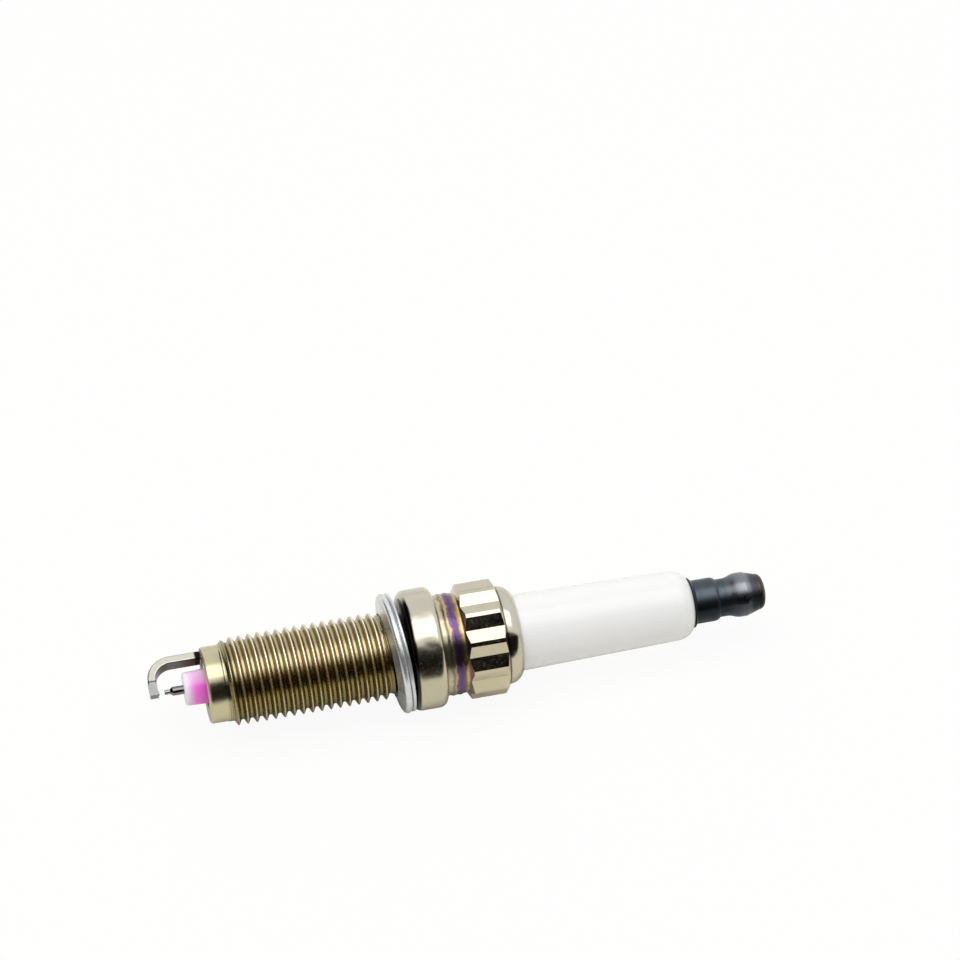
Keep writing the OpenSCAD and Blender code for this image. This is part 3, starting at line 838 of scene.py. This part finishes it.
def make_cards():
    """Dark cards in front of the plug and beyond the electrodes."""
    look, _, shader = material("card_black", (0.003, 0.0025, 0.002), metallic=0.0, roughness=0.9)
    shader.inputs["Specular IOR Level"].default_value = 0.0
    wide = 1.6
    corners = []
    for angle, far, sides in ((-5.2, 0.09, (-wide, wide)), (55, 1.1, (wide, -wide))):
        a = math.radians(angle)
        corners += [(x, -far * math.cos(a), far * math.sin(a)) for x in sides]
    make_card("front_card", corners, look)
    end, side, low, high = -0.45, 1.2, -0.005, 1.2
    make_card("end_card", [(end, -side, low), (end, side, low), (end, side, high), (end, -side, high)], look)


def make_lamp(name, spot, size, radiance, mirrored=True, turn=(0, 0, 0)):
    """A soft rectangular lamp; one that isn't mirrored lights dull surfaces only."""
    lamp = bpy.data.lights.new(name, "AREA")
    lamp.shape = "RECTANGLE"
    lamp.size, lamp.size_y = size
    lamp.energy = radiance * math.pi * lamp.size * lamp.size_y
    made = bpy.data.objects.new(name, lamp)
    made.location = spot
    made.rotation_euler = turn
    made.visible_glossy = mirrored
    bpy.context.scene.collection.objects.link(made)


def make_lights():
    """A soft box overhead, a weak fill from behind and a pale surround."""
    height, length, gap, shift = 0.6, 1.2, 0.02, 0.01
    front_rise, back_rise = math.radians(68), math.radians(71)
    front = -height / math.tan(front_rise)
    back = height / math.tan(back_rise)
    middle, size = (front + back) / 2, (length, back - front)
    make_lamp("soft_box", (shift, middle, height), size, radiance=1.4)
    make_lamp("soft_top", (shift, middle, height + gap), size, radiance=0.85, mirrored=False)
    tilt = (math.radians(-70), 0, 0)
    make_lamp("back_fill", (0.02, 0.57, 0.21), (0.6, 0.6), radiance=0.44, mirrored=False, turn=tilt)
    world = bpy.data.worlds.new("surround")
    bpy.context.scene.world = world
    world.use_nodes = True
    tree = world.node_tree
    background = tree.nodes["Background"]
    background.inputs["Color"].default_value = (1, 1, 1, 1)
    tree.links.new(ray_share(tree, camera=1.0, mirror=1.0, rest=0.45), background.inputs["Strength"])


def make_camera():
    """Looks down along the photograph's direction, with the seat's centre at its pixel."""
    azimuth, elevation, roll = math.radians(-10.1), math.radians(49.5), math.radians(-1.98)
    distance = 0.55
    frame_px, sensor = 960, 36.0
    px_per_mm = 7.475
    focal_px = px_per_mm / MM * distance
    seat_px = (404.0, 651.8)
    to_camera = Vector((
        math.sin(azimuth) * math.cos(elevation),
        -math.cos(azimuth) * math.cos(elevation),
        math.sin(elevation),
    ))
    data = bpy.data.cameras.new("camera")
    data.sensor_width = sensor
    data.lens = focal_px * sensor / frame_px
    data.clip_start = 0.01
    data.clip_end = 20.0
    yaw = math.atan2(seat_px[0] - frame_px / 2, focal_px)
    pitch = math.atan2(seat_px[1] - frame_px / 2, focal_px)
    base = (-to_camera).to_track_quat("-Z", "Y").to_matrix()
    aim = base @ Matrix.Rotation(roll, 3, "Z") @ Matrix.Rotation(yaw, 3, "Y") @ Matrix.Rotation(pitch, 3, "X")
    made = bpy.data.objects.new("camera", data)
    made.matrix_world = Matrix.Translation(to_camera * distance) @ aim.to_4x4()
    bpy.context.scene.collection.objects.link(made)
    bpy.context.scene.camera = made


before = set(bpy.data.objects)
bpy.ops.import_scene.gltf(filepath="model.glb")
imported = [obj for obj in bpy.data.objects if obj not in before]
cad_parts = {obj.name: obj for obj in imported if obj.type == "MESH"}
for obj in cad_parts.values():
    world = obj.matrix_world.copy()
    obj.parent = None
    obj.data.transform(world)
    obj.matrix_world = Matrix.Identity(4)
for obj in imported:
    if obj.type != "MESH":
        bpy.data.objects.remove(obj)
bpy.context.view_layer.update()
bpy.context.scene.view_settings.view_transform = "Standard"
make_camera()
make_shell()
make_gasket()
dress_solids(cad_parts)
make_floor()
make_cards()
make_lights()
